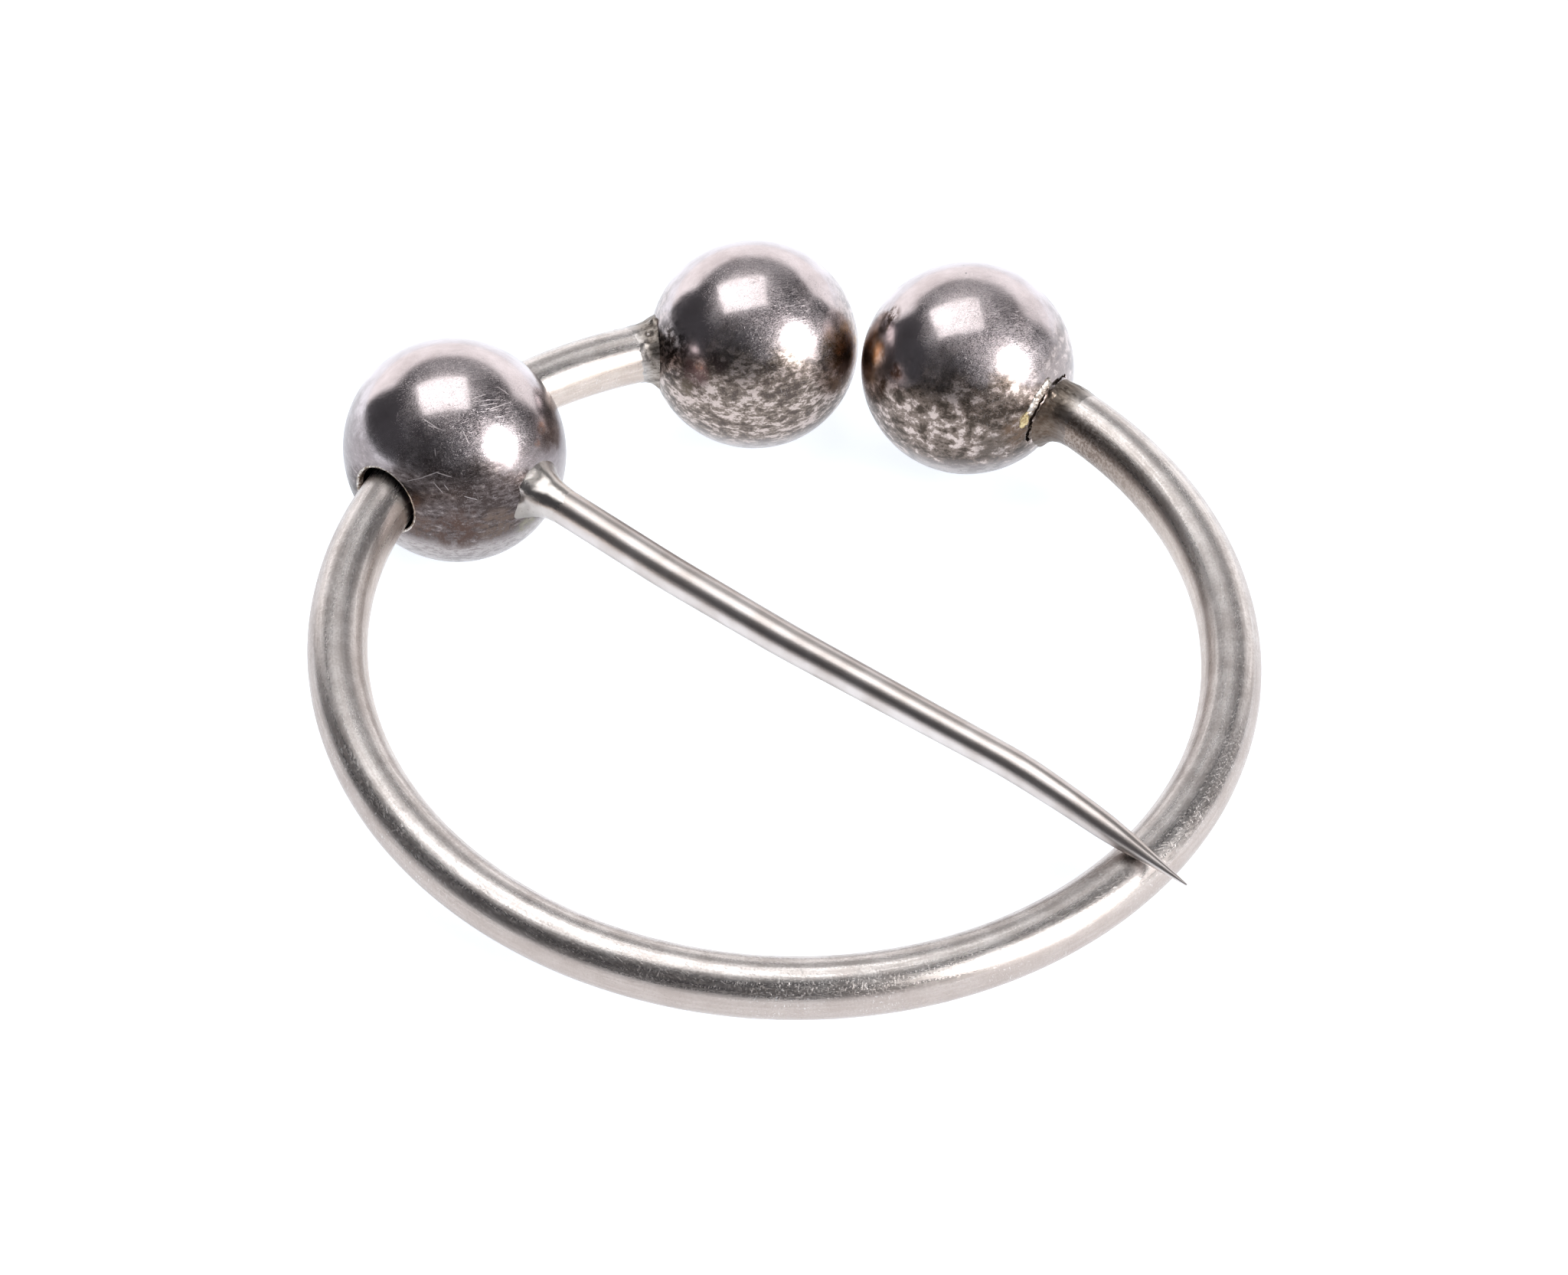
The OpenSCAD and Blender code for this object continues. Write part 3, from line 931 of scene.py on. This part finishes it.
# The far hole's edge is broken a little, and the near one's is rounded
FAR_EDGE = 0.06
NEAR_EDGE = 0.2
skin = ball_stations(0, 120, HOLE_R + FAR_EDGE, NEAR_HOLE_R + NEAR_EDGE)
inside = ball_stations(SHEET, 60, HOLE_R, NEAR_HOLE_R)[::-1]
rim = [(skin[-1][0] + place, NEAR_HOLE_R + over, NEAR_HOLE_SIDE, 0) for place, over in NEAR_RIM]
slider = turned("sliding_ball", skin + rim + inside + skin[:1], sides=160)
close_up()

SLIDER_TARNISH = {
    "haze": 0.65,
    "fleck": 1.5,
    "level": 2.4,
    "thin_at": 0.48,
    "bare_at": 0.57,
    "deep": "#473E3C",
    "thin": "#675E5D",
    "bare": "#938987",
    "bottom_at": -0.25,
    "bottom_fade": 0.13,
}
# The first two, on the side facing the left ball (+X), are small painted glints
SLIDER_STAINS_AND_REFLECTIONS = [
    ((0.81, -0.3, 0.5), 3, "#A88A7E"),
    ((0.78, -0.44, 0.44), 2, "#A88A7E"),
    ((0.89, -0.25, 0.36), 7, "#7A6D6A"),
    ((-0.3, -0.94, 0.18), 4, "#5F4F48"),
    ((0.11, -0.98, -0.15), 12, "#55443E"),
    ((0.45, -0.88, -0.14), 9, "#6A5B53"),
    ((-0.24, -0.96, -0.12), 8, "#604F48"),
    ((0.66, -0.69, -0.28), 5, "#85806F"),
]
SLIDER_SCRATCHES = [
    ((-0.35, -0.87, 0.34), (-0.18, -0.9, 0.41)),
    ((-0.2, -0.895, 0.405), (-0.04, -0.88, 0.47)),
    ((-0.07, -0.88, 0.46), (0.08, -0.9, 0.42)),
    ((0.0, -0.93, 0.36), (0.04, -0.95, 0.31)),
    ((0.22, -0.4, 0.89), (0.35, -0.31, 0.88)),
    ((0.23, -0.42, 0.88), (0.48, -0.31, 0.82)),
    ((0.29, -0.44, 0.85), (0.45, -0.36, 0.82)),
    ((0.37, -0.45, 0.81), (0.56, -0.29, 0.78)),
    ((0.44, -0.2, 0.87), (0.54, -0.23, 0.81)),
    ((-0.19, -0.56, 0.81), (-0.06, -0.64, 0.77)),
    ((-0.15, -0.61, 0.78), (0.01, -0.66, 0.75)),
    ((0.16, -0.64, 0.75), (0.22, -0.72, 0.65)),
    ((-0.09, -0.93, 0.37), (-0.01, -0.96, 0.28)),
    ((0.17, -0.95, 0.25), (0.29, -0.94, 0.2)),
    ((-0.08, -0.76, 0.64), (-0.07, -0.81, 0.58)),
]
slider.data.materials.append(
    raised_silver(
        "sliding_ball_silver", BORE.translation, SLIDER_TARNISH, SLIDER_STAINS_AND_REFLECTIONS, SLIDER_SCRATCHES
    )
)
slider.data.materials.append(sulphide_and_painted_shade("inside_sulphide_and_painted_shade"))
slider.data.materials.append(bare_edge("worn_hole_edge"))
# Black on the inside of the sheet, as sulphide and painted shade, bright at the rims
for face in slider.data.polygons:
    middle = face.center / MM
    worn_side = NEAR_HOLE_SIDE if middle.z > 0 else 0
    from_bore = math.hypot(middle.x - worn_side, middle.y)
    from_skin = SLIDER_ROUND_R - math.hypot(middle.z, middle.xy.length - SLIDER_OUT)
    if from_skin > 0.9 * SHEET:
        face.material_index = 1
    elif abs(middle.z) > RIM_FROM and from_bore < NEAR_HOLE_R + RIM_WIDE:
        face.material_index = 2
laid(slider, BORE)
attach(slider, "pin")
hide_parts("slider_pin")


# The pin. One silver rod, forged thinner towards its end, bent a little in
# three places and filed to a long point. It is the smoothest piece.
HOOP_D = 2 * HOOP_R / MM
PIN_ROOT_UP = 1.23 * MM
PIN_YAW = math.radians(-2.2)
# The whole pin rises by this share of its length, so that its end clears the wire
PIN_RISE = 0.000669
# Place as a share of the hoop's width, thickness in mm, height in mm
PIN_LINE = [
    (0.125, 2.5, 0),
    (0.327, 2.5, 0),
    (0.497, 2.42, 0.5),
    (0.803, 2.12, 2.22),
    (0.822, 2.12, 2.29),
    (0.842, 2.12, 2.29),
    (0.9, 1.92, 2.13),
    (0.953, 1.72, 1.84),
    (1.053, 0.14, 1.25),
]
# Z runs along the pin from the middle of the bore, and Y points up
PIN = (
    HOOP
    @ Matrix.Translation(BORE_POS + Vector((0, 0, PIN_ROOT_UP)))
    @ Matrix.Rotation(SLIDER_AT + math.pi + PIN_YAW, 4, "Z")
    @ Matrix(((0, 0, 1, 0), (1, 0, 0, 0), (0, 1, 0, 0), (0, 0, 0, 1)))
)
pin_stations = [
    (share * HOOP_D, thick / 2, 0, up + PIN_RISE * share * HOOP_D) for share, thick, up in PIN_LINE
]
pin = turned("pin_rod", evened(pin_stations, step=0.5, rounds=8), sides=48)
close_up()
shares, _, heights = np.array(PIN_LINE).T


def straight_pin(p):
    """Where a point of the bent pin lay, in mm, while the pin was straight."""
    return p.z / MM, p.x / MM, p.y / MM - np.interp(p.z / MM, shares * HOOP_D, heights)


keep_straight(pin, straight_pin)
laid(pin, PIN)


def burnished_silver():
    """Forged and burnished silver: smooth and bright, with faint lines along the rod."""
    material, tree = new_material("burnished_silver")
    mm = add(tree, "Attribute", {}, out="Vector", attribute_name="straight")
    # File lines are a few hundredths of a millimetre apart: drawn up to ten times
    # coarser, to show
    drawn = add(tree, "Mapping", {"Vector": mm, "Scale": (0.07, 3.0, 3.0)})
    lines = add(tree, "TexNoise", {"Vector": drawn, "Scale": 1.0, "Detail": 4.0, "Roughness": 0.6})
    cloud = add(tree, "TexNoise", {"Vector": mm, "Scale": 0.5, "Detail": 4.0})
    tone = add(tree, "MapRange", {"Value": cloud, "From Min": 0.35, "From Max": 0.65})
    base = add(
        tree, "Mix", {0: tone, 6: colour("#CCC3BE"), 7: colour("#DED7D4")}, out=2, data_type="RGBA"
    )
    # A brown-grey darkening below, which turns darker towards the point: partly thin tarnish and partly
    # painted shade on the pin's shaded underside
    place = add(tree, "SeparateXYZ", {"Vector": mm}, out="X")
    up = add(tree, "Math", {0: cloud, 1: 0.5, 2: place.node.outputs["Z"]}, operation="MULTIPLY_ADD")
    under = add(tree, "MapRange", {"Value": up, "From Min": 0.15, "From Max": -0.55, "To Max": 0.95})
    base = add(tree, "Mix", {0: under, 6: base, 7: colour("#8E837A")}, out=2, data_type="RGBA")
    tip = add(tree, "MapRange", {"Value": place, "From Min": 53.0, "From Max": 57.5})
    tip = add(tree, "Math", {0: tip, 1: under}, operation="MULTIPLY")
    base = add(tree, "Mix", {0: tip, 6: base, 7: colour("#5E4D44")}, out=2, data_type="RGBA")
    nicks = scratches(tree, mm, length=1.5, width=0.07, cover=-0.02)
    satin = add(
        tree,
        "MapRange",
        {"Value": lines, "From Min": 0.35, "From Max": 0.65, "To Min": 0.38, "To Max": 0.29},
    )
    rough = add(tree, "Mix", {0: nicks, 2: satin, 3: 0.45})
    relief = add(tree, "Math", {0: lines, 1: nicks}, operation="SUBTRACT")
    return finished(material, base, rough, relief, strength=0.4, height=0.004)


pin.data.materials.append(burnished_silver())
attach(pin, "pin")


# The pin's solder. The pin is soldered on the side of the sliding ball. The
# solder has drawn up into a hollow-cheeked cone with a lumpy foot.
CONE_STATIONS = [
    (6.7, 2.4, 0.15, -0.45),
    (7.2, 2.32, 0.15, -0.45),
    (7.5, 2.1, 0.12, -0.38),
    (8.0, 1.78, 0.07, -0.24),
    (8.6, 1.52, 0.03, -0.12),
    (9.3, 1.35, 0.0, -0.03),
    (10.2, 1.26, 0.0, 0.0),
    (11.4, 1.21, 0.0, 0.0),
]
cone = turned("pin_solder_cone", evened(CONE_STATIONS, SOLDER_STEP, rounds=8))
pushed(
    cone,
    [
        (200, 7.3, 0.5, 1.1),
        (155, 7.4, -0.32, 0.8),
        (105, 8.2, -0.14, 1.1),
        (178, 8.0, -0.12, 0.7),
    ],
)
close_up()
uneven(cone, size=1.3 * MM, height=0.06 * MM)
uneven(cone, size=0.4 * MM, height=0.015 * MM)
laid(cone, PIN)


def bright_solder():
    """Silver solder wiped by years of handling: bright and soft-edged on its crown,
    dull yellow-grey with small pits down at its foot. The dulling on the foot's
    lower side is partly grime and partly painted shade."""
    material, tree = new_material("handled_silver_solder")
    mm = in_mm(tree, BORE.translation)
    out = add(tree, "VectorMath", {0: mm}, out="Value", operation="LENGTH")
    height = add(tree, "SeparateXYZ", {"Vector": mm}, out="Z")
    # Grime with painted shade: the foot is duller and darker on its lower side
    low = add(tree, "MapRange", {"Value": height, "From Min": 1.2, "From Max": -0.6})
    foot = add(tree, "MapRange", {"Value": out, "From Min": 9.6, "From Max": 8.2})
    dull = add(tree, "Math", {0: low, 1: foot}, operation="MULTIPLY")
    grain = add(tree, "TexNoise", {"Vector": mm, "Scale": 4.0, "Detail": 6.0, "Roughness": 0.7})
    cloud = add(tree, "TexNoise", {"Vector": mm, "Scale": 0.8, "Detail": 4.0})
    bright = add(
        tree, "Mix", {0: cloud, 6: colour("#BDB5AF"), 7: colour("#DCD6D2")}, out=2, data_type="RGBA"
    )
    base = add(tree, "Mix", {0: dull, 6: bright, 7: colour("#A59F99")}, out=2, data_type="RGBA")
    dark = add(tree, "MapRange", {"Value": grain, "From Min": 0.4, "From Max": 0.3})
    dark = add(tree, "Math", {0: dark, 1: foot}, operation="MULTIPLY")
    base = add(tree, "Mix", {0: dark, 6: base, 7: colour("#57493D")}, out=2, data_type="RGBA")
    rough = add(tree, "Math", {0: dull, 1: 0.22, 2: 0.26}, operation="MULTIPLY_ADD")
    relief = add(tree, "Math", {0: grain, 1: foot}, operation="MULTIPLY")
    return finished(material, base, rough, relief, strength=0.7, height=0.05)


cone.data.materials.append(bright_solder())
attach(cone, "pin")


# The stage: a white table that glows a little, a softbox overhead, a round lamp
# to the right, a white wall behind the table and a dim room all round. The
# camera has a long lens, 354 mm from the brooch and 41 degrees above the table.
bpy.ops.object.select_all(action="DESELECT")
bpy.ops.mesh.primitive_plane_add(size=6)
table = bpy.context.object
table.name = "table"
acrylic, tree = new_material("lit_white_acrylic")
shader = add(
    tree,
    "BsdfPrincipled",
    {
        "Base Color": colour("#C8CACC"),
        "Roughness": 0.9,
        "Emission Color": colour("#F1F7FF"),
        "Emission Strength": 0.86,
    },
)
add(tree, "OutputMaterial", {"Surface": shader})
table.data.materials.append(acrylic)


def lamp(name, shape, size, place, radiance):
    """A soft lamp of a size and a radiance, which the camera doesn't see."""
    light = bpy.data.lights.new(name, "AREA")
    light.shape = shape
    light.size, light.size_y = size
    area = size[0] * size[1] * (1 if shape == "RECTANGLE" else math.pi / 4)
    light.energy = radiance * math.pi * area
    made = bpy.data.objects.new(name, light)
    made.location = place
    made.visible_camera = False
    bpy.context.scene.collection.objects.link(made)
    return made


SOFTBOX_SIZE = (0.86, 0.74)
SOFTBOX_PLACE = (-0.21, 0.155, 1.0)
SOFTBOX_TURN = math.radians(9)
softbox = lamp("overhead_softbox", "RECTANGLE", SOFTBOX_SIZE, SOFTBOX_PLACE, radiance=2.25)
softbox.rotation_euler = (0, 0, SOFTBOX_TURN)
LAMP_SIZE = (0.56, 0.7)
LAMP_TURN = math.radians(120)
LAMP_UP = math.radians(25)
LAMP_WAY = Vector(
    (
        math.sin(LAMP_TURN) * math.cos(LAMP_UP),
        math.cos(LAMP_TURN) * math.cos(LAMP_UP),
        math.sin(LAMP_UP),
    )
)
round_lamp = lamp("round_lamp", "ELLIPSE", LAMP_SIZE, LAMP_WAY, radiance=10.0)
round_lamp.rotation_euler = LAMP_WAY.to_track_quat("Z", "Y").to_euler()

world = bpy.data.worlds.new("studio")
bpy.context.scene.world = world
world.use_nodes = True
tree = world.node_tree
tree.nodes.clear()
# The wall's two sides, as turns from straight behind, and its top
WALL_LEFT = math.radians(-55)
WALL_RIGHT = math.radians(58)
WALL_SIDE_SOFT = math.radians(4)
WALL_TOP = 0.49
WALL_TOP_SOFT = 0.07
ROOM_LIGHT = (0.06, 0.06, 0.066, 1)
CEILING_LIGHT = (0.3, 0.3, 0.31, 1)
WALL_LIGHT = (1.28, 1.25, 1.25, 1)
WHITE = (1, 1, 1, 1)
sky = add(tree, "TexCoord", {}, out="Generated")
across = add(tree, "SeparateXYZ", {0: sky}, out="X")
back = across.node.outputs["Y"]
up = across.node.outputs["Z"]
turn = add(tree, "Math", {0: across, 1: back}, operation="ARCTAN2")
left_edge = add(
    tree,
    "MapRange",
    {"Value": turn, "From Min": WALL_LEFT - WALL_SIDE_SOFT, "From Max": WALL_LEFT + WALL_SIDE_SOFT},
    interpolation_type="SMOOTHSTEP",
)
right_edge = add(
    tree,
    "MapRange",
    {"Value": turn, "From Min": WALL_RIGHT + WALL_SIDE_SOFT, "From Max": WALL_RIGHT - WALL_SIDE_SOFT},
    interpolation_type="SMOOTHSTEP",
)
top_edge = add(
    tree,
    "MapRange",
    {"Value": up, "From Min": WALL_TOP + WALL_TOP_SOFT, "From Max": WALL_TOP - WALL_TOP_SOFT},
    interpolation_type="SMOOTHSTEP",
)
# The ceiling above the wall catches a little of its light
ceiling_high = add(tree, "MapRange", {"Value": up, "From Min": 0.3, "From Max": 0.6})
ceiling_far = add(tree, "MapRange", {"Value": back, "From Min": 0.35, "From Max": 0.6})
aside = add(tree, "Math", {0: across}, operation="ABSOLUTE")
ceiling_middle = add(tree, "MapRange", {"Value": aside, "From Min": 0.55, "From Max": 0.3})
ceiling = add(tree, "Math", {0: ceiling_high, 1: ceiling_far}, operation="MULTIPLY")
ceiling = add(tree, "Math", {0: ceiling, 1: ceiling_middle}, operation="MULTIPLY")
wall = add(tree, "Math", {0: left_edge, 1: right_edge}, operation="MULTIPLY")
wall = add(tree, "Math", {0: wall, 1: top_edge}, operation="MULTIPLY")
room = add(tree, "Mix", {0: ceiling, 6: ROOM_LIGHT, 7: CEILING_LIGHT}, out=2, data_type="RGBA")
room = add(tree, "Mix", {0: wall, 6: room, 7: WALL_LIGHT}, out=2, data_type="RGBA")
# What the camera sees past the table is plain white
in_view = add(tree, "LightPath", {}, out="Is Camera Ray")
shown = add(tree, "Mix", {0: in_view, 6: room, 7: WHITE}, out=2, data_type="RGBA")
background = add(tree, "Background", {"Color": shown})
add(tree, "OutputWorld", {"Surface": background})

scene = bpy.context.scene
scene.view_settings.view_transform = "Standard"
CAMERA_LENS = 120.735
FILM_WIDTH = 36
camera_data = bpy.data.cameras.new("camera")
camera_data.lens = CAMERA_LENS
camera_data.sensor_width = FILM_WIDTH
camera = bpy.data.objects.new("camera", camera_data)
scene.collection.objects.link(camera)
scene.camera = camera
AIM = Vector((-0.12, -1.7, 5.0)) * MM
CAMERA_PLACE = Vector((12.0, -268.1, 238.2)) * MM
CAMERA_ROLL = math.radians(1.1057)
camera.matrix_world = (
    Matrix.Translation(CAMERA_PLACE)
    @ (AIM - CAMERA_PLACE).to_track_quat("-Z", "Y").to_matrix().to_4x4()
    @ Matrix.Rotation(-CAMERA_ROLL, 4, "Z")
)
